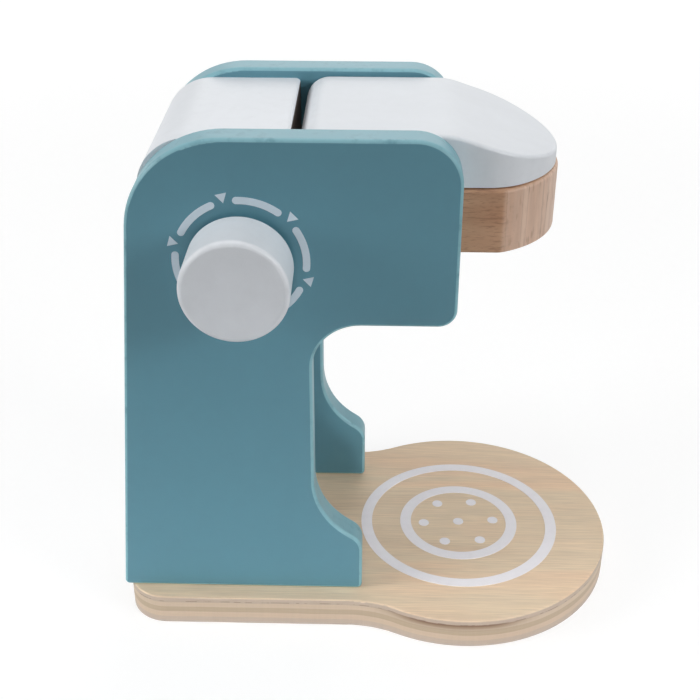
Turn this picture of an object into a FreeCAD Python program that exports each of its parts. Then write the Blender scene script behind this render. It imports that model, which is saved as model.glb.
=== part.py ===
"""Toy coffee maker: a plywood base, two painted side panels, a hinged lid, a brew head and a turning knob.

Millimetres, +Z up, +X towards the front, where the cup stands, and +Y to the machine's left.
The origin is on the underside of the base, half way along it, on the middle plane of the panels.
The knob is on the right panel, at negative Y.
"""
import FreeCAD, Part
import os
from math import asin, atan2, cos, hypot, pi, radians, remainder, sin, sqrt, tan

# Side panels, cut from one outline and mirrored
panel_thickness = 10.0
panel_gap = 60.0
panel_height = 171.8
panel_rear_overhang = 1.6
panel_rear_lean = 5.05
foot_length = 86.8
foot_toe = 16.8
toe_top_height = 21.5
toe_slope = 34.0
toe_hollow_radius = 28.0
toe_crown_radius = 7.5
arm_reach = 46.4
arm_height = 62.6
arm_hollow_radius = 15.8
arm_nose_radius = 6.0
panel_front_radius = 14.7
panel_rear_radius = 31.5
panel_corner_radius = 1.6
panel_edge_radius = 1.3

# Base plate: a round cup rest in front, and a narrower body with rounded corners behind it
base_thickness = 12.0
base_side_margin = 6.7
base_corner_radius = 14.0
rest_swell = 9.8
rest_blend_radius = 40.0
base_edge_radius = 0.8

# Rear body between the panels: a solid cap over two upright boards
cap_drop = 3.4
cap_rear_inset = 2.3
cap_corner_radius = 17.4
cap_front_radius = 1.6
cap_height = 24.0
cap_front_setback = 6.6
rear_board_thickness = 8.0
front_board_thickness = 8.0
front_board_setback = 4.5

# Brew head: a block between the arms, with a round front, a capsule well and an outlet over the cup
head_thickness = 21.4
head_underside_drop = 40.7
head_rear_gap = 18.0
head_nose_swell = 2.5
head_corner_radius = 6.0
head_upper_edge_radius = 1.4
head_lower_edge_radius = 0.5
nose_centre_lead = 0.6
outlet_lead = 7.7
outlet_diameter = 14.0
well_diameter = 32.0
well_depth = 14.0
well_rim_chamfer = 1.0

# Lid, which swings up on a pin near its rear end
lid_thickness = 16.6
lid_seat_gap = 0.4
lid_side_clearance = 0.6
lid_cap_gap = 2.3
lid_rear_radius = 8.0
lid_nose_inset = 0.8
lid_corner_radius = 20.0
lid_slope = 18.8
lid_tip_thickness = 4.8
lid_crown_radius = 20.0
lid_edge_radius = 1.2
pin_diameter = 5.0
pin_setback = 8.3
pin_hole_cover = 3.5
pin_end_gap = 0.5
pin_panel_clearance = 0.02
pin_lid_clearance = 0.08

# Knob on the right panel, with the dowel it turns on and the washer and screw that keep it there
knob_setback = 21.6
knob_drop = 39.9
knob_front_radius = 16.85
knob_rear_radius = 16.7
knob_length = 19.4
knob_edge_radius = 1.8
knob_rear_chamfer = 0.8
knob_panel_gap = 0.4
knob_boss_diameter = 20.0
knob_boss_height = 2.3
knob_face_cover = 7.4
knob_dowel_diameter = 8.0
dowel_panel_clearance = 0.08
washer_diameter = 12.0
washer_thickness = 1.5
washer_panel_gap = 0.3
knob_screw_diameter = 3.0
knob_screw_length = 16.0
knob_screw_head_diameter = 6.6
knob_screw_head_height = 2.2
knob_screw_crown_radius = 1.1

# Printed marks: the dial round the knob, and the rings and dots on the cup rest
print_thickness = 0.2
dial_gap = 2.6
dial_bar_width = 2.3
dial_bar_span = 44.0
dial_first_angle = 43.0
dial_arrows = 6
arrow_lead = 0.5
arrow_size = 2.05
ring_outer_radii = (38.1, 22.8)
ring_width = 4.2
dot_circle_radius = 13.6
dot_radius = 2.0
dot_count = 6
dot_first_angle = 4.8

# Hidden dowels, and the screws that hold the panels down
joint_dowel_length = 22.0
joint_hole_cover = 2.5
joint_dowel_end_gap = 0.5
glue_clearance = 0.05
block_dowel_diameter = 8.0
block_dowel_margin = 8.0
cap_dowel_spacing = 20.0
board_dowel_diameter = 4.0
board_dowel_margin = 26.0
base_screw_diameter = 4.0
base_screw_length = 32.0
base_screw_head_diameter = 8.0
base_screw_head_height = 2.6
base_screw_sink = 0.4
base_screw_margin = 18.0
screw_clearance = 0.2
recess_width = 0.9
recess_depth = 1.3
recess_share = 0.55

# Widths from the middle plane outwards
inner_y = panel_gap / 2
outer_y = inner_y + panel_thickness
base_half_width = outer_y + base_side_margin
rest_radius = base_half_width + rest_swell
head_nose_radius = inner_y + head_nose_swell
lid_half_width = inner_y - lid_side_clearance
lid_nose_radius = head_nose_radius - lid_nose_inset

# Places along the machine, from the base's rear edge forwards
column_reach = foot_length - foot_toe - panel_rear_overhang
base_length = column_reach + arm_reach + outlet_lead + rest_radius
rear_x = -base_length / 2
front_x = base_length / 2
foot_rear_x = rear_x - panel_rear_overhang
foot_front_x = foot_rear_x + foot_length
column_front_x = rear_x + column_reach
arm_front_x = column_front_x + arm_reach
nose_x = arm_front_x + nose_centre_lead
rest_x = arm_front_x + outlet_lead
cap_front_x = column_front_x - cap_front_setback
board_front_x = column_front_x - front_board_setback
head_rear_x = board_front_x + head_rear_gap
lid_rear_x = cap_front_x + lid_cap_gap
pin_x = lid_rear_x + pin_setback
knob_x = column_front_x - knob_setback

# Heights
base_top = base_thickness
panel_top = base_top + panel_height
arm_underside = panel_top - arm_height
cap_top = panel_top - cap_drop
cap_underside = cap_top - cap_height
head_underside = panel_top - head_underside_drop
head_top = head_underside + head_thickness
lid_underside = head_top + lid_seat_gap
lid_top = lid_underside + lid_thickness
pin_z = lid_underside + lid_thickness / 2
knob_z = panel_top - knob_drop

# Depths of what sits in blind holes
joint_dowel_depth = panel_thickness - joint_hole_cover - joint_dowel_end_gap
pin_hole_depth = panel_thickness - pin_hole_cover
knob_boss_y = -outer_y - knob_panel_gap
knob_rear_y = knob_boss_y - knob_boss_height
knob_front_y = knob_rear_y - knob_length
knob_dowel_end_y = knob_front_y + knob_face_cover
washer_y = -inner_y + washer_panel_gap

tolerance = 1e-3


def vector(x, y, z):
    return FreeCAD.Vector(x, y, z)


def level_plane(z):
    """Maps two outline numbers, along and across the machine, to a point at a height."""
    return lambda u, v: vector(u, v, z)


def side_plane(y):
    """Maps two outline numbers, along the machine and up, to a point on an upright plane."""
    return lambda u, v: vector(u, y, v)


def line(start, end):
    return Part.LineSegment(start, end).toShape()


def arc(start, middle, end):
    return Part.Arc(start, middle, end).toShape()


def rod(x, y, z, radius, length, direction=(0, 0, 1)):
    return Part.makeCylinder(radius, length, vector(x, y, z), vector(*direction))


def rod_across(x, y, z, radius, length):
    """A rod towards +Y from a point."""
    return rod(x, y, z, radius, length, (0, 1, 0))


def mirrored(shape):
    """The same shape on the machine's other side."""
    return shape.mirror(vector(0, 0, 0), vector(0, 1, 0))


def near(a, b):
    return abs(a - b) < tolerance


def edges_where(shape, test):
    """The edges whose ends and inner points all pass a test of their coordinates."""
    chosen = []
    for edge in shape.Edges:
        first, last = edge.ParameterRange
        points = [edge.valueAt(first + (last - first) * share) for share in (0.0, 0.3, 0.7, 1.0)]
        if all(test(point) for point in points):
            chosen.append(edge)
    return chosen


def rounded_outline(corners, place):
    """A closed face through corners of (u, v, radius), each rounded by an arc.

    Two arcs that meet on a side too short for both share it in the proportion that they ask for.
    """
    count = len(corners)
    sides, half_angles, wishes = [], [], []
    for i, (u, v, radius) in enumerate(corners):
        before, after = corners[i - 1], corners[(i + 1) % count]
        in_angle = atan2(before[1] - v, before[0] - u)
        out_angle = atan2(after[1] - v, after[0] - u)
        half_angle = abs(remainder(out_angle - in_angle, 2 * pi)) / 2
        sides.append(hypot(after[0] - u, after[1] - v) - tolerance)
        half_angles.append(half_angle)
        wishes.append(radius / tan(half_angle))
    starts, middles, ends = [], [], []
    for i, (u, v, radius) in enumerate(corners):
        before, after = corners[i - 1], corners[(i + 1) % count]
        in_length = hypot(before[0] - u, before[1] - v)
        out_length = hypot(after[0] - u, after[1] - v)
        in_u, in_v = (before[0] - u) / in_length, (before[1] - v) / in_length
        out_u, out_v = (after[0] - u) / out_length, (after[1] - v) / out_length
        in_share = min(1, sides[i - 1] / max(wishes[i - 1] + wishes[i], tolerance))
        out_share = min(1, sides[i] / max(wishes[i] + wishes[(i + 1) % count], tolerance))
        half_angle = half_angles[i]
        setback = wishes[i] * min(in_share, out_share)
        fitted = setback * tan(half_angle)
        depth = fitted / sin(half_angle) - fitted
        bisector = hypot(in_u + out_u, in_v + out_v)
        starts.append((u + in_u * setback, v + in_v * setback))
        middles.append((u + (in_u + out_u) / bisector * depth, v + (in_v + out_v) / bisector * depth))
        ends.append((u + out_u * setback, v + out_v * setback))
    edges = []
    for i in range(count):
        if corners[i][2] > 0:
            edges.append(arc(place(*starts[i]), place(*middles[i]), place(*ends[i])))
        edges.append(line(place(*ends[i]), place(*starts[(i + 1) % count])))
    return Part.Face(Part.Wire(edges))


def between_panels(corners):
    """A solid with this side view, as wide as the gap between the panels."""
    return rounded_outline(corners, side_plane(-inner_y)).extrude(vector(0, panel_gap, 0))


def rear_line_x(z):
    """Where the leaning rear edge of the panels is at a height."""
    return foot_rear_x + (z - base_top) * tan(radians(panel_rear_lean))


def body_rear_x(z):
    """Where the rear of the cap and of the rear board is at a height."""
    return rear_line_x(z) + cap_rear_inset


def joint_places():
    """Each hidden joint: the diameter of its dowels, and the (x, z) that it has on both panels."""
    head_z = head_underside + head_thickness / 2
    head_xs = (head_rear_x + block_dowel_margin, arm_front_x - block_dowel_margin)
    cap_z = cap_underside + cap_height / 2
    cap_xs = (cap_front_x - block_dowel_margin, cap_front_x - block_dowel_margin - cap_dowel_spacing)
    board_zs = (base_top + board_dowel_margin, cap_underside - board_dowel_margin)
    front_x_middle = board_front_x - front_board_thickness / 2
    return {
        "head_dowels": (block_dowel_diameter, [(x, head_z) for x in head_xs]),
        "cap_dowels": (block_dowel_diameter, [(x, cap_z) for x in cap_xs]),
        "rear_board_dowels": (board_dowel_diameter,
                              [(body_rear_x(z) + rear_board_thickness / 2, z) for z in board_zs]),
        "front_board_dowels": (board_dowel_diameter, [(front_x_middle, z) for z in board_zs]),
    }


def joint_dowels(name):
    """The dowels of one joint, each half in a panel and half in the piece between the panels."""
    diameter, places = joint_places()[name]
    inner_end = inner_y + joint_dowel_depth - joint_dowel_length
    solids = []
    for x, z in places:
        dowel = rod_across(x, inner_end, z, diameter / 2, joint_dowel_length)
        solids += [dowel, mirrored(dowel)]
    return Part.makeCompound(solids)


def joint_holes(name):
    """The holes of one joint, from their blind ends in the middle piece to those in the panels."""
    diameter, places = joint_places()[name]
    inner_end = inner_y + joint_dowel_depth - joint_dowel_length - joint_dowel_end_gap
    length = joint_dowel_length + 2 * joint_dowel_end_gap
    holes = []
    for x, z in places:
        hole = rod_across(x, inner_end, z, diameter / 2 + glue_clearance, length)
        holes += [hole, mirrored(hole)]
    return holes


def base_screw_places():
    """The (x, y) of the four screws, two along the foot of each panel."""
    middle_y = inner_y + panel_thickness / 2
    xs = (rear_x + base_screw_margin, foot_front_x - base_screw_margin)
    return [(x, side * middle_y) for x in xs for side in (-1, 1)]


def base_outline():
    """The narrow body, two hollow blends and the round cup rest, as one level face."""
    place = level_plane(0)
    half, corner, blend = base_half_width, base_corner_radius, rest_blend_radius
    centres = rest_radius + blend
    reach = sqrt(centres ** 2 - (half + blend) ** 2)
    blend_x = rest_x - reach
    touch_x = rest_x - reach * rest_radius / centres
    touch_y = (half + blend) * rest_radius / centres
    bend = asin(reach / centres) / 2
    bow = corner * (1 - cos(pi / 4))
    diagonal = rest_radius * cos(pi / 4)
    edges = [line(place(rear_x, corner - half), place(rear_x, half - corner))]
    for side in (1, -1):
        corner_start = place(rear_x, side * (half - corner))
        corner_end = place(rear_x + corner, side * half)
        blend_start = place(blend_x, side * half)
        blend_middle = place(blend_x + blend * sin(bend), side * (half + blend * (1 - cos(bend))))
        rest_start = place(touch_x, side * touch_y)
        edges.append(arc(corner_start, place(rear_x + bow, side * (half - bow)), corner_end))
        edges.append(line(corner_end, blend_start))
        edges.append(arc(blend_start, blend_middle, rest_start))
        edges.append(arc(rest_start, place(rest_x + diagonal, side * diagonal), place(front_x, 0)))
    return Part.Face(Part.Wire(Part.__sortEdges__(edges)))


def sunk_head(x, y, clearance):
    """The cone of a sunk screw head, made larger by a clearance."""
    head = base_screw_head_diameter / 2 + clearance
    neck = base_screw_diameter / 2 + clearance
    return Part.makeCone(head, neck, base_screw_head_height, vector(x, y, base_screw_sink), vector(0, 0, 1))


def base_plate():
    plate = base_outline().extrude(vector(0, 0, base_thickness))
    rims = edges_where(plate, lambda p: near(p.z, 0) or near(p.z, base_thickness))
    plate = plate.makeFillet(base_edge_radius, rims)
    for x, y in base_screw_places():
        plate = plate.cut(rod(x, y, 0, base_screw_diameter / 2 + screw_clearance, base_thickness))
        plate = plate.cut(rod(x, y, 0, base_screw_head_diameter / 2 + screw_clearance, base_screw_sink))
        plate = plate.cut(sunk_head(x, y, screw_clearance))
    return plate


def cross(width):
    """The two crossing bars of a driver recess, centred on the origin, from its level face upwards."""
    bars = []
    for dx, dy in ((width, recess_width), (recess_width, width)):
        bars.append(Part.makeBox(dx, dy, recess_depth, vector(-dx / 2, -dy / 2, 0)))
    return bars[0].fuse(bars[1])


def base_screws():
    solids = []
    for x, y in base_screw_places():
        neck_z = base_screw_sink + base_screw_head_height
        shank = rod(x, y, neck_z, base_screw_diameter / 2, base_screw_length - base_screw_head_height)
        recess = cross(base_screw_head_diameter * recess_share)
        recess.translate(vector(x, y, base_screw_sink))
        solids.append(sunk_head(x, y, 0).fuse(shank).cut(recess))
    return Part.makeCompound(solids)


def panel_outline():
    """The side view of a panel: leaning rear edge, round shoulders, arm, column and swept toe."""
    toe_z = base_top + toe_top_height
    toe_root_z = toe_z + foot_toe * tan(radians(toe_slope))
    corners = [
        (foot_rear_x, base_top, panel_corner_radius),
        (rear_line_x(panel_top), panel_top, panel_rear_radius),
        (arm_front_x, panel_top, panel_front_radius),
        (arm_front_x, arm_underside, arm_nose_radius),
        (column_front_x, arm_underside, arm_hollow_radius),
        (column_front_x, toe_root_z, toe_hollow_radius),
        (foot_front_x, toe_z, toe_crown_radius),
        (foot_front_x, base_top, panel_corner_radius),
    ]
    return rounded_outline(corners, side_plane(inner_y))


def left_panel():
    """The left panel, with blind holes for the dowels, the lid's pin and the base's screws."""
    panel = panel_outline().extrude(vector(0, panel_thickness, 0))
    rims = edges_where(panel, lambda p: near(p.y, inner_y) or near(p.y, outer_y))
    panel = panel.makeFillet(panel_edge_radius, rims)
    for name in joint_places():
        panel = panel.cut(joint_holes(name))
    pin_radius = pin_diameter / 2 + pin_panel_clearance
    panel = panel.cut(rod_across(pin_x, inner_y, pin_z, pin_radius, pin_hole_depth))
    screw_depth = base_screw_sink + base_screw_length + pin_end_gap - base_top
    for x, y in base_screw_places():
        panel = panel.cut(rod(x, y, base_top, base_screw_diameter / 2, screw_depth))
    return panel


def right_panel():
    """The left panel's mirror image, with a hole through it for the knob's dowel."""
    radius = knob_dowel_diameter / 2 + dowel_panel_clearance
    return mirrored(left_panel()).cut(rod_across(knob_x, -outer_y, knob_z, radius, panel_thickness))


def rear_cap():
    corners = [
        (body_rear_x(cap_underside), cap_underside, 0),
        (body_rear_x(cap_top), cap_top, cap_corner_radius),
        (cap_front_x, cap_top, cap_front_radius),
        (cap_front_x, cap_underside, 0),
    ]
    return between_panels(corners).cut(joint_holes("cap_dowels"))


def rear_board():
    """The board behind the columns, which leans like the rear edge of the panels."""
    low, high = body_rear_x(base_top), body_rear_x(cap_underside)
    corners = [
        (low, base_top, 0),
        (high, cap_underside, 0),
        (high + rear_board_thickness, cap_underside, 0),
        (low + rear_board_thickness, base_top, 0),
    ]
    return between_panels(corners).cut(joint_holes("rear_board_dowels"))


def front_board():
    corners = [
        (board_front_x - front_board_thickness, base_top, 0),
        (board_front_x - front_board_thickness, cap_underside, 0),
        (board_front_x, cap_underside, 0),
        (board_front_x, base_top, 0),
    ]
    return between_panels(corners).cut(joint_holes("front_board_dowels"))


def nose_plan(rear, half_width, radius, corner, z):
    """The plan of the head or the lid: straight sides, a wide arc in front and a blend between them."""
    place = level_plane(z)
    blend_y = half_width - corner
    blend_x = nose_x + sqrt((radius - corner) ** 2 - blend_y ** 2)
    turn = atan2(blend_y, blend_x - nose_x)
    half_turn = (turn + pi / 2) / 2
    edges = [line(place(rear, half_width), place(rear, -half_width))]
    arc_ends = []
    for side in (1, -1):
        side_end = place(blend_x, side * half_width)
        blend_middle = place(blend_x + corner * cos(half_turn), side * (blend_y + corner * sin(half_turn)))
        arc_end = place(nose_x + radius * cos(turn), side * radius * sin(turn))
        edges.append(line(place(rear, side * half_width), side_end))
        edges.append(arc(side_end, blend_middle, arc_end))
        arc_ends.append(arc_end)
    edges.append(arc(arc_ends[0], place(nose_x + radius, 0), arc_ends[1]))
    return Part.Face(Part.Wire(Part.__sortEdges__(edges)))


def brew_head():
    plan = nose_plan(head_rear_x, inner_y, head_nose_radius, head_corner_radius, head_underside)
    head = plan.extrude(vector(0, 0, head_thickness))
    for z, radius in ((head_top, head_upper_edge_radius), (head_underside, head_lower_edge_radius)):
        rim = edges_where(head, lambda p: near(p.z, z) and p.x > head_rear_x + tolerance)
        head = head.makeFillet(radius, rim)
    well_radius = well_diameter / 2
    rim_z = head_top - well_rim_chamfer
    head = head.cut(rod(rest_x, 0, head_top - well_depth, well_radius, well_depth))
    head = head.cut(Part.makeCone(well_radius, well_radius + well_rim_chamfer, well_rim_chamfer,
                                  vector(rest_x, 0, rim_z), vector(0, 0, 1)))
    head = head.cut(rod(rest_x, 0, head_underside, outlet_diameter / 2, head_thickness))
    return head.cut(joint_holes("head_dowels"))


def lid():
    """A wedge-nosed block: its side view, cut off by its plan, with the upper arris rounded."""
    tip_x = nose_x + lid_nose_radius
    tip_z = lid_underside + lid_tip_thickness
    slope = tan(radians(lid_slope))
    bend_x = tip_x - (lid_top - tip_z) / slope
    beyond_x = tip_x + lid_tip_thickness
    corners = [
        (lid_rear_x, lid_underside, 0),
        (lid_rear_x, lid_top, lid_rear_radius),
        (bend_x, lid_top, lid_crown_radius),
        (beyond_x, tip_z - (beyond_x - tip_x) * slope, 0),
        (beyond_x, lid_underside, 0),
    ]
    plan = nose_plan(lid_rear_x, lid_half_width, lid_nose_radius, lid_corner_radius, lid_underside)
    body = between_panels(corners).common(plan.extrude(vector(0, 0, lid_thickness)))

    def on_arris(point):
        """Whether a point is where the lid's top meets its sides or its nose."""
        foot = Part.Vertex(point.x, point.y, lid_underside)
        on_top = point.z > tip_z - tolerance and point.x > lid_rear_x + tolerance
        return on_top and foot.distToShape(plan.OuterWire)[0] < tolerance

    body = body.makeFillet(lid_edge_radius, edges_where(body, on_arris))
    pin_radius = pin_diameter / 2 + pin_lid_clearance
    return body.cut(rod_across(pin_x, -inner_y, pin_z, pin_radius, panel_gap))


def lid_pin():
    half_length = inner_y + pin_hole_depth - pin_end_gap
    return rod_across(pin_x, -half_length, pin_z, pin_diameter / 2, 2 * half_length)


def knob():
    """A turned knob, slightly wider in front, with a boss behind and a blind bore for its dowel."""
    rear, front, edge, lead = knob_rear_radius, knob_front_radius, knob_edge_radius, knob_rear_chamfer
    bow = edge * (1 - cos(pi / 4))
    side_rear = vector(knob_x + rear, knob_rear_y - lead, knob_z)
    side_front = vector(knob_x + front, knob_front_y + edge, knob_z)
    edge_middle = vector(knob_x + front - bow, knob_front_y + bow, knob_z)
    front_rim = vector(knob_x + front - edge, knob_front_y, knob_z)
    corners = [
        front_rim,
        vector(knob_x, knob_front_y, knob_z),
        vector(knob_x, knob_boss_y, knob_z),
        vector(knob_x + knob_boss_diameter / 2, knob_boss_y, knob_z),
        vector(knob_x + knob_boss_diameter / 2, knob_rear_y, knob_z),
        vector(knob_x + rear - lead, knob_rear_y, knob_z),
        side_rear,
        side_front,
    ]
    edges = [line(start, end) for start, end in zip(corners, corners[1:])]
    edges.append(arc(side_front, edge_middle, front_rim))
    body = Part.Face(Part.Wire(edges)).revolve(corners[1], vector(0, 1, 0), 360)
    bore_radius = knob_dowel_diameter / 2 + glue_clearance
    return body.cut(rod_across(knob_x, knob_dowel_end_y, knob_z, bore_radius, knob_boss_y - knob_dowel_end_y))


def knob_dowel():
    """The dowel that the knob is glued to, with a pilot hole for the screw in its inner end."""
    length = washer_y - knob_dowel_end_y
    dowel = rod_across(knob_x, knob_dowel_end_y, knob_z, knob_dowel_diameter / 2, length)
    pilot_depth = knob_screw_length - washer_thickness
    pilot = rod_across(knob_x, washer_y - pilot_depth, knob_z, knob_screw_diameter / 2, pilot_depth)
    return dowel.cut(pilot)


def knob_washer():
    hole_radius = knob_screw_diameter / 2 + screw_clearance
    washer = rod_across(knob_x, washer_y, knob_z, washer_diameter / 2, washer_thickness)
    return washer.cut(rod_across(knob_x, washer_y, knob_z, hole_radius, washer_thickness))


def knob_screw():
    seat_y = washer_y + washer_thickness
    crown_y = seat_y + knob_screw_head_height
    head = rod_across(knob_x, seat_y, knob_z, knob_screw_head_diameter / 2, knob_screw_head_height)
    head = head.makeFillet(knob_screw_crown_radius, edges_where(head, lambda p: near(p.y, crown_y)))
    recess = cross(knob_screw_head_diameter * recess_share)
    recess.rotate(vector(0, 0, 0), vector(1, 0, 0), 90)
    recess.translate(vector(knob_x, crown_y, knob_z))
    shank_y = seat_y - knob_screw_length
    shank = rod_across(knob_x, shank_y, knob_z, knob_screw_diameter / 2, knob_screw_length)
    return shank.fuse(head).cut(recess)


def dial_arrow(angle):
    """An arrowhead that points at the knob from this angle."""
    place = side_plane(-outer_y - print_thickness)
    radius = knob_rear_radius + dial_gap + dial_bar_width + arrow_lead
    u, v = knob_x + radius * cos(angle), knob_z + radius * sin(angle)
    turns = [angle + pi + i * 2 * pi / 3 for i in range(3)]
    tips = [place(u + arrow_size * cos(turn), v + arrow_size * sin(turn)) for turn in turns]
    return Part.Face(Part.makePolygon(tips + tips[:1]))


def dial_bar(angle):
    """A curved bar with round ends, centred on this angle."""
    place = side_plane(-outer_y - print_thickness)
    inner = knob_rear_radius + dial_gap
    outer = inner + dial_bar_width
    middle = (inner + outer) / 2
    end_turn = asin(dial_bar_width / 2 / middle)
    first = angle - radians(dial_bar_span / 2) + end_turn
    last = angle + radians(dial_bar_span / 2) - end_turn

    def at(radius, turn):
        return place(knob_x + radius * cos(turn), knob_z + radius * sin(turn))

    edges = [
        arc(at(inner, first), at(inner, angle), at(inner, last)),
        arc(at(inner, last), at(middle, last + end_turn), at(outer, last)),
        arc(at(outer, last), at(outer, angle), at(outer, first)),
        arc(at(outer, first), at(middle, first - end_turn), at(inner, first)),
    ]
    return Part.Face(Part.Wire(edges))


def dial_print():
    """Six arrowheads round the knob, with a curved bar between each two."""
    step = 2 * pi / dial_arrows
    solids = []
    for i in range(dial_arrows):
        angle = radians(dial_first_angle) + i * step
        for mark in (dial_arrow(angle), dial_bar(angle + step / 2)):
            solids.append(mark.extrude(vector(0, print_thickness, 0)))
    return Part.makeCompound(solids)


def cup_print():
    """Two rings and a ring of dots round a middle dot, which mark where the cup stands."""
    solids = []
    for radius in ring_outer_radii:
        disc = rod(rest_x, 0, base_top, radius, print_thickness)
        solids.append(disc.cut(rod(rest_x, 0, base_top, radius - ring_width, print_thickness)))
    solids.append(rod(rest_x, 0, base_top, dot_radius, print_thickness))
    for i in range(dot_count):
        angle = radians(dot_first_angle) + i * 2 * pi / dot_count
        x, y = rest_x + dot_circle_radius * cos(angle), dot_circle_radius * sin(angle)
        solids.append(rod(x, y, base_top, dot_radius, print_thickness))
    return Part.makeCompound(solids)


pieces = [base_plate, right_panel, left_panel, rear_cap, rear_board, front_board, brew_head, lid, lid_pin,
          knob, knob_dowel, knob_washer, knob_screw, base_screws, dial_print, cup_print]

os.makedirs("parts", exist_ok=True)
for piece in pieces:
    piece().exportStep("parts/" + piece.__name__ + ".step")
for name in joint_places():
    joint_dowels(name).exportStep("parts/" + name + ".step")
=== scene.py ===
"""Looks of the toy coffee maker: paint, wood, ink and steel for its pieces, a floor, soft light and
the camera.

Metres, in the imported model's frame: +Z up, +X towards the front, and the knob at negative Y.
"""
from math import cos, radians, sin

import bpy
from mathutils import Matrix, Vector


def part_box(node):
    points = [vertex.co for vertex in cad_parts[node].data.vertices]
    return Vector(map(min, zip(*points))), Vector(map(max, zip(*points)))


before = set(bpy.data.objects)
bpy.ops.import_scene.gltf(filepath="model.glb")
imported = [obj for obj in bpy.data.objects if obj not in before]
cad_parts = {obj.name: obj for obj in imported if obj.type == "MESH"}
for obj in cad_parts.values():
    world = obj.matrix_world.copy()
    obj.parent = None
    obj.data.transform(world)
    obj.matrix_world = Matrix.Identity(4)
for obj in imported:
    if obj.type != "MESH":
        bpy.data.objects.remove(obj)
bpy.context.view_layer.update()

# Camera: its place, its turn to the left, tilt and roll in degrees, and its focal length in pixels
CAMERA_PLACE = (-0.00081, -0.3725, 0.30617)
CAMERA_TURN = 1.370
CAMERA_TILT = -30.188
CAMERA_ROLL = 0.127
FOCAL_PIXELS = 1191.4
IMAGE_PIXELS = 700
SENSOR_WIDTH = 36.0

# Lamps: place, aim, width, height, power and the full angle in degrees that their light keeps to.
# They all stand further off than any camera that looks round the object
AIM = (0.0, 0.0, 0.09)
FOOT = (0.0, -0.04, -0.02)
WIDE = 180.0
LAMPS = {
    "overhead": ((0.05, -0.06, 1.30), AIM, 1.1, 1.1, 5.8, WIDE),
    "right_side": ((1.06, -0.66, 0.68), AIM, 0.45, 0.45, 7.5, WIDE),
    "left_side": ((-1.18, -0.34, 0.52), AIM, 0.4, 0.4, 8.0, WIDE),
    "rear": ((0.10, 1.20, 0.85), AIM, 1.1, 1.0, 4.0, WIDE),
    "low_front": ((0.0, -1.25, 0.20), FOOT, 1.1, 0.15, 0.30, 20.0),
}

# The backdrop's strength as a light, and where it is seen
AMBIENT = 0.06
BACKDROP_WHITE = 1.0

FLOOR_WIDTH = 8.0
FLOOR_ALBEDO = 0.88

# The floor's own white where it is seen, and its share near the object and far from it
FLOOR_WHITE = 1.14
FLOOR_WHITENING = 0.68
FAR_FLOOR_WHITENING = 0.91

# How far from the object's middle the floor starts to look whiter, and where it is whitest
SEEN_START = 0.30
SEEN_END = 1.20

# How far from the object's middle the floor starts to send less light back to the pieces, where that
# ends, and the share that is left there
POOL_START = 0.10
POOL_END = 0.29
FAR_FLOOR_SHARE = 0.15

# Colours as they look on screen, in parts of 255
TEAL = (89, 140, 156)
# Lighter teal off the main faces: thin paint, and a painted sheen where the edges catch light
THIN_TEAL_AND_SHEEN = (132, 182, 193)
WHITE = (226, 230, 235)
# Lighter white off the main faces: thin paint, and a painted sheen where the edges catch light
THIN_WHITE_AND_SHEEN = (233, 237, 242)
# Unpainted wood, darkened as painted shade deep in the gap behind the lid
SHADED_RAW_WOOD = (58, 44, 36)
VENEER_LIGHT = (234, 212, 182)
VENEER_DARK = (226, 201, 171)
VENEER_ROSY = (239, 208, 176)
BEECH_LIGHT = (206, 164, 132)
BEECH_DARK = (182, 136, 104)
BEECH_FLECK = (136, 92, 66)
BEECH_END_LIGHT = (228, 200, 180)
BEECH_END_DARK = (208, 172, 148)
BEECH_END_LINE = (160, 122, 98)
CUP_INK = (248, 245, 249)
DIAL_INK = (208, 222, 232)
STEEL = (190, 190, 192)

PAINT_ROUGHNESS = 0.42
PLYWOOD_ROUGHNESS = 0.55
BEECH_ROUGHNESS = 0.5
INK_ROUGHNESS = 0.5
STEEL_ROUGHNESS = 0.32
WOOD_SPECULAR = 0.4

# How strongly the flecks, the fine pores, the growth lines and the short ticks colour the beech
FLECK_STRENGTH = 0.5
PORE_STRENGTH = 0.35
LINE_STRENGTH = 0.35
TICK_STRENGTH = 0.4

# Grain: cells a metre along X, Y and Z, fewest along the fibres
PANEL_GRAIN = (30, 60, 8)
LID_GRAIN = (8, 60, 60)
KNOB_GRAIN = (60, 8, 60)
CAP_GRAIN = (60, 8, 60)
BOARD_GRAIN = (60, 60, 8)
VENEER_GRAIN = (12, 190, 190)
HEAD_GRAIN = (45, 700, 260)
DOWEL_GRAIN = (700, 45, 700)

# How squarely a painted piece's main faces look along their axis, over a blur. Elsewhere the paint is
# thinner, and lighter as a painted sheen on edges and roundings. The lid's value is lower, so that its
# sloping nose is still a main face
MAIN_FACE = 0.975
LID_MAIN_FACE = 0.91
MAIN_FACE_BLUR = 0.03

# Thin paint and painted sheen on the walls between the main faces, against 1 on the roundings
WALL_THINNESS_AND_SHEEN = 0.65

# Plies of the base from its top down: how deep each ends, in millimetres, and its colour
PLIES = [
    (1.6, (190, 172, 156)),
    (2.2, (188, 170, 153)),
    (4.2, (203, 184, 161)),
    (6.6, (185, 165, 141)),
    (8.9, (204, 183, 161)),
    (10.6, (192, 175, 159)),
    (12.0, (189, 175, 163)),
]

# The blur between two plies, as a share of the base's thickness, the most that it may take of one
# ply, and how far the plies wave
PLY_BLUR = 0.03
MOST_OF_PLY = 1 / 3
PLY_WOBBLE = 0.0003

# A glue line that shows here and there on the edge: how deep it starts and ends
GLUE = (104, 84, 72)
GLUE_TOP = 0.00165
GLUE_FOOT = 0.00190
GLUE_BLUR = 0.00015
GLUE_STRENGTH = 0.6

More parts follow.
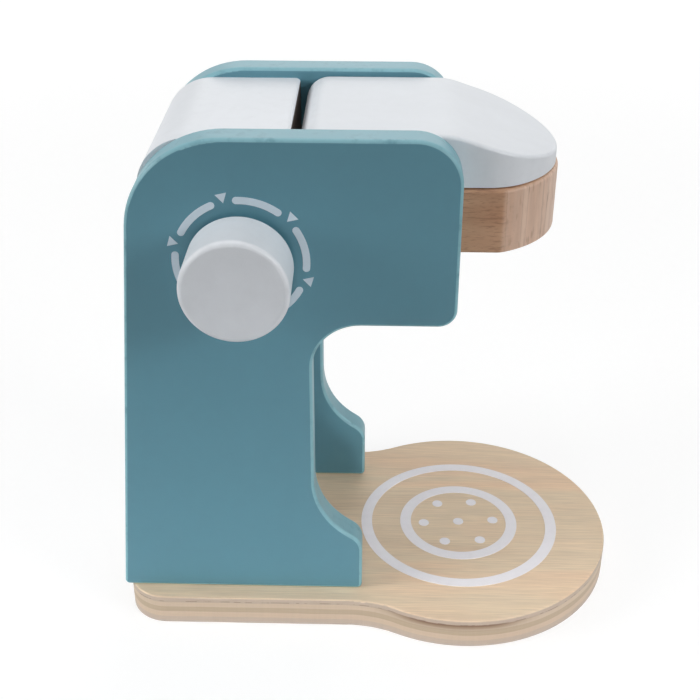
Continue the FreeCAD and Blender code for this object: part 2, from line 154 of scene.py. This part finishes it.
# A painted shadow under the base's pale top ply, where it overhangs a gap on the rest's front: where
# it lies across, the depths between which it starts to show, and those between which it fades
GAP_SHADOW = (112, 74, 46)
GAP_SHADOW_LEFT = 0.008
GAP_SHADOW_RIGHT = 0.051
GAP_SHADOW_BLUR = 0.022
GAP_SHADOW_TOP_START = 0.0017
GAP_SHADOW_TOP_END = 0.0020
GAP_SHADOW_FADE_START = 0.0018
GAP_SHADOW_FADE_END = 0.0052
GAP_SHADOW_STRENGTH = 0.8

# The screen's colour curve
CURVE_START = 0.04045
CURVE_SLOPE = 12.92
CURVE_OFFSET = 0.055
CURVE_POWER = 2.4

# Where a ramp's new stop goes until it gets its own place
ANY_PLACE = 0.5

NOISE_MIDDLE = 0.5
MILLIMETRE = 0.001


def linear_part(part):
    """One part of a screen colour, from 0 to 1, by the screen curve: straight near black, then a power."""
    if part <= CURVE_START:
        return part / CURVE_SLOPE
    return ((part + CURVE_OFFSET) / (1 + CURVE_OFFSET)) ** CURVE_POWER


def linear(colour):
    """A screen colour in parts of 255 as the linear colour that a shader takes."""
    return tuple(linear_part(part / 255) for part in colour) + (1.0,)


class Graph:
    """The nodes of a material or of the world, with short calls for the kinds used here."""

    def __init__(self, owner):
        owner.use_nodes = True
        self.nodes = owner.node_tree.nodes
        self.links = owner.node_tree.links

    def put(self, socket, value):
        """Links another node's output to a socket, or sets the socket to a plain value."""
        if isinstance(value, bpy.types.NodeSocket):
            self.links.new(value, socket)
        else:
            socket.default_value = value

    def math(self, operation, *values):
        node = self.nodes.new("ShaderNodeMath")
        node.operation = operation
        for socket, value in zip(node.inputs, values):
            self.put(socket, value)
        return node.outputs[0]

    def product(self, first, *others):
        for other in others:
            first = self.math("MULTIPLY", first, other)
        return first

    def step(self, value, low, high, start=0.0, end=1.0):
        """A smooth change from start, where a value is below low, to end, where it is above high."""
        node = self.nodes.new("ShaderNodeMapRange")
        node.interpolation_type = "SMOOTHSTEP"
        self.put(node.inputs["Value"], value)
        node.inputs["From Min"].default_value = low
        node.inputs["From Max"].default_value = high
        node.inputs["To Min"].default_value = start
        node.inputs["To Max"].default_value = end
        return node.outputs["Result"]

    def band(self, value, low, high, blur):
        """1 between low and high, and 0 outside, over a blur."""
        rise = self.step(value, low - blur / 2, low + blur / 2)
        fall = self.step(value, high - blur / 2, high + blur / 2)
        return self.math("SUBTRACT", rise, fall)

    def seen_directly(self):
        """1 for rays from the camera, from a gloss or through glass, and 0 for those that light things."""
        path = self.nodes.new("ShaderNodeLightPath")
        total = path.outputs["Is Camera Ray"]
        for name in ("Is Glossy Ray", "Is Transmission Ray"):
            total = self.math("MAXIMUM", total, path.outputs[name])
        return total

    def mix_shaders(self, amount, first, second):
        node = self.nodes.new("ShaderNodeMixShader")
        for socket, value in zip(node.inputs, (amount, first, second)):
            self.put(socket, value)
        return node.outputs[0]


class Shader(Graph):
    """A material on the standard surface shader, with colours and bumps made from noise."""

    def __init__(self, name, roughness, specular=0.5):
        self.material = bpy.data.materials.new(name)
        super().__init__(self.material)
        self.surface = self.nodes["Principled BSDF"]
        self.surface.inputs["Roughness"].default_value = roughness
        self.surface.inputs["Specular IOR Level"].default_value = specular
        self.roughness = roughness
        self.colour = None
        coordinates = self.nodes.new("ShaderNodeTexCoord")
        self.place = coordinates.outputs["Object"]
        self.normal = coordinates.outputs["Normal"]

    def set(self, name, value):
        self.put(self.surface.inputs[name], value)

    def set_colour(self, colour):
        self.colour = colour
        self.set("Base Color", colour)

    def axis(self, vector, name):
        node = self.nodes.new("ShaderNodeSeparateXYZ")
        self.put(node.inputs[0], vector)
        return node.outputs[name]

    def facing(self, name):
        """How far the surface faces along an axis, either way: 1 where it is square to it."""
        return self.math("ABSOLUTE", self.axis(self.normal, name))

    def noise(self, cells, detail=2.0, roughness=0.5, distortion=0.0):
        """Noise with so many cells a metre along X, Y and Z."""
        stretched = self.nodes.new("ShaderNodeMapping")
        self.put(stretched.inputs["Vector"], self.place)
        stretched.inputs["Scale"].default_value = cells
        node = self.nodes.new("ShaderNodeTexNoise")
        self.put(node.inputs["Vector"], stretched.outputs[0])
        node.inputs["Scale"].default_value = 1.0
        node.inputs["Detail"].default_value = detail
        node.inputs["Roughness"].default_value = roughness
        node.inputs["Distortion"].default_value = distortion
        return node.outputs["Fac"]

    def swing(self, value, reach, middle):
        """A middle value that a noise moves by up to a reach, either way."""
        centred = self.math("SUBTRACT", value, NOISE_MIDDLE)
        return self.math("MULTIPLY_ADD", centred, 2 * reach, middle)

    def ramp(self, value, stops):
        """Colours that change with a value: stops of (place, screen colour)."""
        node = self.nodes.new("ShaderNodeValToRGB")
        self.put(node.inputs["Fac"], value)
        elements = node.color_ramp.elements
        while len(elements) < len(stops):
            elements.new(ANY_PLACE)
        for element, (place, colour) in zip(elements, stops):
            element.position = place
            element.color = linear(colour)
        return node.outputs["Color"]

    def mix(self, amount, first, second):
        """The second colour over the first one, by an amount from 0 to 1."""
        node = self.nodes.new("ShaderNodeMix")
        node.data_type = "RGBA"
        inputs = [socket for socket in node.inputs if socket.type == "RGBA"]
        self.put(node.inputs["Factor"], amount)
        self.put(inputs[0], first)
        self.put(inputs[1], second)
        return next(socket for socket in node.outputs if socket.type == "RGBA")

    def shade(self, colour, value, strength):
        """A colour made lighter where a noise is above its middle, and darker below it."""
        node = self.nodes.new("ShaderNodeVectorMath")
        node.operation = "SCALE"
        self.put(node.inputs[0], colour[:3] if isinstance(colour, tuple) else colour)
        self.put(node.inputs["Scale"], self.swing(value, strength, 1.0))
        return node.outputs[0]

    def bump(self, height, depth):
        """Raises the surface by up to a depth where a height is 1, on top of the bumps made before."""
        node = self.nodes.new("ShaderNodeBump")
        node.inputs["Distance"].default_value = depth
        self.put(node.inputs["Height"], height)
        before = self.surface.inputs["Normal"].links
        if before:
            self.put(node.inputs["Normal"], before[0].from_socket)
        self.set("Normal", node.outputs[0])

    def vary_roughness(self, value, reach):
        self.set("Roughness", self.swing(value, reach, self.roughness))


def paint(name, colour, thin_and_sheen_colour, face_axis, grain, main_face=MAIN_FACE):
    """Satin paint over sanded wood: a little cloudy, ribbed by the grain, and thin off the main faces,
    where a painted sheen also makes it lighter.
    """
    shader = Shader(name, PAINT_ROUGHNESS)
    clouds = shader.noise(cells=(16, 16, 16), detail=3)
    mottle = shader.noise(cells=(220, 220, 220), detail=3, roughness=0.6)
    ribs = shader.noise(grain, detail=4, roughness=0.6)
    orange_peel = shader.noise(cells=(700, 700, 700), detail=1)
    facing = shader.facing(face_axis)
    face_start = main_face - MAIN_FACE_BLUR / 2
    face_end = main_face + MAIN_FACE_BLUR / 2
    off_face = shader.step(facing, face_start, face_end, start=1.0, end=0.0)
    rounding = shader.step(facing, low=0.03, high=0.2, start=WALL_THINNESS_AND_SHEEN, end=1.0)
    # Off the main faces the colour turns lighter: thin paint on worn edges, and a painted sheen there
    wear_and_sheen = shader.product(off_face, rounding, shader.step(mottle, low=0.1, high=0.5))
    tone = shader.mix(wear_and_sheen, linear(colour), linear(thin_and_sheen_colour))
    tone = shader.shade(tone, clouds, strength=0.06)
    tone = shader.shade(tone, mottle, strength=0.035)
    shader.set_colour(shader.shade(tone, ribs, strength=0.03))
    shader.vary_roughness(mottle, reach=0.08)
    shader.bump(ribs, depth=0.00004)
    shader.bump(orange_peel, depth=0.000012)
    return shader


def cap_paint():
    """White paint on the cap, which stops at the unpainted front face behind the lid, painted dark as
    shade.
    """
    shader = paint("cap_paint", WHITE, THIN_WHITE_AND_SHEEN, "Y", CAP_GRAIN)
    fibres = shader.noise(cells=(600, 30, 600), detail=3)
    # Unpainted wood of the front face, darkened as painted shade deep in the narrow gap behind the lid
    shaded_raw = shader.shade(linear(SHADED_RAW_WOOD), fibres, strength=0.2)
    front = shader.step(shader.axis(shader.normal, "X"), low=0.9, high=0.98)
    shader.set_colour(shader.mix(front, shader.colour, shaded_raw))
    return shader


def face_veneer(shader):
    """The base's face veneer: long soft streaks along X with short fine pores."""
    broad = shader.noise(cells=(5, 34, 34), detail=2, distortion=0.8)
    streaks = shader.noise(VENEER_GRAIN, detail=4, roughness=0.6, distortion=0.3)
    pores = shader.noise(cells=(60, 1500, 1500), detail=2, roughness=0.6)
    tone = shader.ramp(broad, [(0.32, VENEER_DARK), (0.5, VENEER_LIGHT), (0.66, VENEER_ROSY)])
    tone = shader.shade(tone, streaks, strength=0.13)
    return shader.shade(tone, pores, strength=0.22), streaks, pores


def ply_stops(thickness):
    """The plies as stops of (share of the base's thickness, colour), two for each ply."""
    stops = []
    start = 0.0
    for end_mm, colour in PLIES:
        end = end_mm * MILLIMETRE / thickness
        blur = min(PLY_BLUR, (end - start) * MOST_OF_PLY)
        stops += [(start + blur / 2, colour), (end - blur / 2, colour)]
        start = end
    return stops


def plywood():
    """Birch plywood: streaked face, sanded edge showing each ply, painted shadow under the top ply."""
    shader = Shader("plywood", PLYWOOD_ROUGHNESS, specular=WOOD_SPECULAR)
    low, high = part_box("base_plate")
    thickness = high.z - low.z
    face, streaks, pores = face_veneer(shader)
    wobble = shader.noise(cells=(70, 70, 300), detail=3)
    depth = shader.math("SUBTRACT", high.z, shader.axis(shader.place, "Z"))
    depth = shader.swing(wobble, PLY_WOBBLE, depth)

    fibres = shader.noise(cells=(160, 160, 2200), detail=3, roughness=0.65)
    saw_marks = shader.noise(cells=(1300, 1300, 40), detail=1)
    edge = shader.ramp(shader.math("DIVIDE", depth, thickness), ply_stops(thickness))
    edge = shader.shade(edge, fibres, strength=0.09)
    edge = shader.shade(edge, saw_marks, strength=0.035)

    glue = shader.band(depth, GLUE_TOP, GLUE_FOOT, GLUE_BLUR)
    stretches = shader.step(shader.noise(cells=(300, 300, 30), detail=2), low=0.46, high=0.56)
    edge = shader.mix(shader.product(glue, stretches, GLUE_STRENGTH), edge, linear(GLUE))

    # Painted shadow under the overhanging top ply on the rest's front: dark at its top, fading downwards
    across = shader.band(shader.axis(shader.place, "X"), GAP_SHADOW_LEFT, GAP_SHADOW_RIGHT, GAP_SHADOW_BLUR)
    front = shader.math("GREATER_THAN", 0.0, shader.axis(shader.place, "Y"))
    top = shader.step(depth, GAP_SHADOW_TOP_START, GAP_SHADOW_TOP_END)
    fade = shader.step(depth, GAP_SHADOW_FADE_START, GAP_SHADOW_FADE_END, start=1.0, end=0.0)
    edge = shader.mix(shader.product(across, front, top, fade, GAP_SHADOW_STRENGTH), edge, linear(GAP_SHADOW))

    wall = shader.step(shader.facing("Z"), low=0.35, high=0.85, start=1.0, end=0.0)
    shader.set_colour(shader.mix(wall, face, edge))
    shader.vary_roughness(streaks, reach=0.08)
    shader.bump(streaks, depth=0.00005)
    shader.bump(pores, depth=0.00002)
    return shader


def beech(name, grain):
    """Clear beech: dense brown flecks along the grain, and fine lines and rays on its end."""
    shader = Shader(name, BEECH_ROUGHNESS, specular=WOOD_SPECULAR)
    fleck_colour = linear(BEECH_FLECK)
    line_colour = linear(BEECH_END_LINE)

    broad = shader.noise(cells=(9, 60, 70), detail=2, distortion=0.4)
    streaks = shader.noise(grain, detail=4, roughness=0.65)
    flecks = shader.noise(cells=(150, 900, 1100), detail=2, roughness=0.55)
    fine = shader.noise(cells=(420, 1500, 2200), detail=1)
    side = shader.ramp(broad, [(0.35, BEECH_DARK), (0.65, BEECH_LIGHT)])
    side = shader.shade(side, streaks, strength=0.18)
    side = shader.mix(shader.step(flecks, low=0.52, high=0.68, end=FLECK_STRENGTH), side, fleck_colour)
    side = shader.mix(shader.step(fine, low=0.55, high=0.72, end=PORE_STRENGTH), side, fleck_colour)

    rays = shader.noise(cells=(500, 500, 60), detail=3, roughness=0.6)
    rings = shader.noise(cells=(150, 150, 5), detail=2)
    lines = shader.band(rings, low=0.54, high=0.56, blur=0.02)
    ticks = shader.noise(cells=(700, 700, 160), detail=1)
    end = shader.ramp(rings, [(0.35, BEECH_END_DARK), (0.62, BEECH_END_LIGHT)])
    end = shader.shade(end, rays, strength=0.14)
    end = shader.mix(shader.product(lines, LINE_STRENGTH), end, line_colour)
    end = shader.mix(shader.step(ticks, low=0.56, high=0.72, end=TICK_STRENGTH), end, line_colour)

    end_share = shader.step(shader.facing("X"), low=0.1, high=0.65)
    shader.set_colour(shader.mix(end_share, side, end))
    shader.vary_roughness(streaks, reach=0.08)
    shader.bump(streaks, depth=0.00006)
    return shader


def ink(name, colour, grain):
    """Thin printed ink, uneven where the grain under it is."""
    shader = Shader(name, INK_ROUGHNESS)
    mottle = shader.noise(cells=(400, 400, 400), detail=3, roughness=0.6)
    ribs = shader.noise(grain, detail=3)
    tone = shader.shade(linear(colour), mottle, strength=0.04)
    shader.set_colour(shader.shade(tone, ribs, strength=0.04))
    shader.vary_roughness(mottle, reach=0.06)
    shader.bump(mottle, depth=0.00001)
    return shader


def steel():
    """Drawn steel with fine lines along it."""
    shader = Shader("steel", STEEL_ROUGHNESS)
    shader.set("Metallic", 1.0)
    lines = shader.noise(cells=(900, 40, 900), detail=3)
    shader.set_colour(shader.shade(linear(STEEL), lines, strength=0.08))
    shader.vary_roughness(lines, reach=0.1)
    shader.bump(lines, depth=0.00001)
    return shader


def dress():
    """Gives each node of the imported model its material."""
    teal = paint("teal_paint", TEAL, THIN_TEAL_AND_SHEEN, "Y", PANEL_GRAIN)
    lid_paint = paint("lid_paint", WHITE, THIN_WHITE_AND_SHEEN, "Z", LID_GRAIN, LID_MAIN_FACE)
    knob_paint = paint("knob_paint", WHITE, THIN_WHITE_AND_SHEEN, "Y", KNOB_GRAIN)
    board_paint = paint("board_paint", WHITE, THIN_WHITE_AND_SHEEN, "Z", BOARD_GRAIN)
    head_wood = beech("head_beech", HEAD_GRAIN)
    dowel_wood = beech("dowel_beech", DOWEL_GRAIN)
    metal = steel()
    materials = {
        "base_plate": plywood(),
        "right_panel": teal,
        "left_panel": teal,
        "rear_cap": cap_paint(),
        "rear_board": board_paint,
        "front_board": board_paint,
        "brew_head": head_wood,
        "lid": lid_paint,
        "knob": knob_paint,
        "cup_print": ink("cup_ink", CUP_INK, VENEER_GRAIN),
        "dial_print": ink("dial_ink", DIAL_INK, PANEL_GRAIN),
    }
    for node in ("lid_pin", "knob_washer", "knob_screw", "base_screws"):
        materials[node] = metal
    for node in ("knob_dowel", "head_dowels", "cap_dowels", "rear_board_dowels", "front_board_dowels"):
        materials[node] = dowel_wood
    for node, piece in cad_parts.items():
        piece.data.materials.clear()
        piece.data.materials.append(materials[node].material)


def floor():
    """A plain white floor that keeps a faint shadow.

    Where it is seen, it looks whiter with distance. It sends light back to the pieces only from close
    to them, and little from further off.
    """
    bpy.ops.mesh.primitive_plane_add(size=FLOOR_WIDTH, location=(0, 0, 0))
    plane = bpy.context.object
    plane.name = "floor"
    material = bpy.data.materials.new("floor_paper")
    graph = Graph(material)
    graph.nodes.clear()
    seen = graph.seen_directly()
    coordinates = graph.nodes.new("ShaderNodeTexCoord")
    length = graph.nodes.new("ShaderNodeVectorMath")
    length.operation = "LENGTH"
    graph.put(length.inputs[0], coordinates.outputs["Object"])
    distance = length.outputs["Value"]

    far_albedo = FLOOR_ALBEDO * FAR_FLOOR_SHARE
    pool = graph.step(distance, POOL_START, POOL_END, start=FLOOR_ALBEDO, end=far_albedo)
    albedo = graph.nodes.new("ShaderNodeMix")
    graph.put(albedo.inputs["Factor"], seen)
    graph.put(albedo.inputs["A"], pool)
    graph.put(albedo.inputs["B"], FLOOR_ALBEDO)
    paper = graph.nodes.new("ShaderNodeBsdfDiffuse")
    graph.put(paper.inputs["Color"], albedo.outputs["Result"])

    white = graph.nodes.new("ShaderNodeEmission")
    white.inputs["Strength"].default_value = FLOOR_WHITE
    whitening = graph.step(
        distance, SEEN_START, SEEN_END, start=FLOOR_WHITENING, end=FAR_FLOOR_WHITENING
    )
    share = graph.product(seen, whitening)
    output = graph.nodes.new("ShaderNodeOutputMaterial")
    surface = graph.mix_shaders(share, paper.outputs[0], white.outputs[0])
    graph.put(output.inputs["Surface"], surface)
    plane.data.materials.append(material)


def backdrop():
    """A white world where it is seen, and a dim even light elsewhere."""
    world = bpy.data.worlds.new("studio")
    bpy.context.scene.world = world
    graph = Graph(world)
    graph.nodes.clear()
    lights = []
    for strength in (AMBIENT, BACKDROP_WHITE):
        light = graph.nodes.new("ShaderNodeBackground")
        light.inputs["Color"].default_value = (1.0, 1.0, 1.0, 1.0)
        light.inputs["Strength"].default_value = strength
        lights.append(light.outputs[0])
    output = graph.nodes.new("ShaderNodeOutputWorld")
    graph.put(output.inputs["Surface"], graph.mix_shaders(graph.seen_directly(), *lights))


def lamps():
    """Soft rectangular lamps, which the camera doesn't see."""
    for name, (place, aim, width, height, power, spread) in LAMPS.items():
        light = bpy.data.lights.new(name, "AREA")
        light.shape = "RECTANGLE"
        light.size = width
        light.size_y = height
        light.energy = power
        light.spread = radians(spread)
        lamp = bpy.data.objects.new(name, light)
        lamp.visible_camera = False
        lamp.location = place
        lamp.rotation_mode = "QUATERNION"
        lamp.rotation_quaternion = (Vector(aim) - Vector(place)).to_track_quat("-Z", "Y")
        bpy.context.scene.collection.objects.link(lamp)


def camera():
    """The camera at the place that the photograph was taken from."""
    turn = radians(CAMERA_TURN)
    tilt = radians(CAMERA_TILT)
    roll = radians(CAMERA_ROLL)
    ahead = Vector((-sin(turn) * cos(tilt), cos(turn) * cos(tilt), sin(tilt)))
    level_right = Vector((cos(turn), sin(turn), 0.0))
    level_up = level_right.cross(ahead)
    right = cos(roll) * level_right + sin(roll) * level_up
    up = cos(roll) * level_up - sin(roll) * level_right
    data = bpy.data.cameras.new("camera")
    data.sensor_width = SENSOR_WIDTH
    data.lens = FOCAL_PIXELS * SENSOR_WIDTH / IMAGE_PIXELS
    view = bpy.data.objects.new("camera", data)
    axes = Matrix((right, up, -ahead)).transposed().to_4x4()
    view.matrix_world = Matrix.Translation(CAMERA_PLACE) @ axes
    bpy.context.scene.collection.objects.link(view)
    bpy.context.scene.camera = view


bpy.context.scene.view_settings.view_transform = "Standard"
dress()
floor()
backdrop()
lamps()
camera()
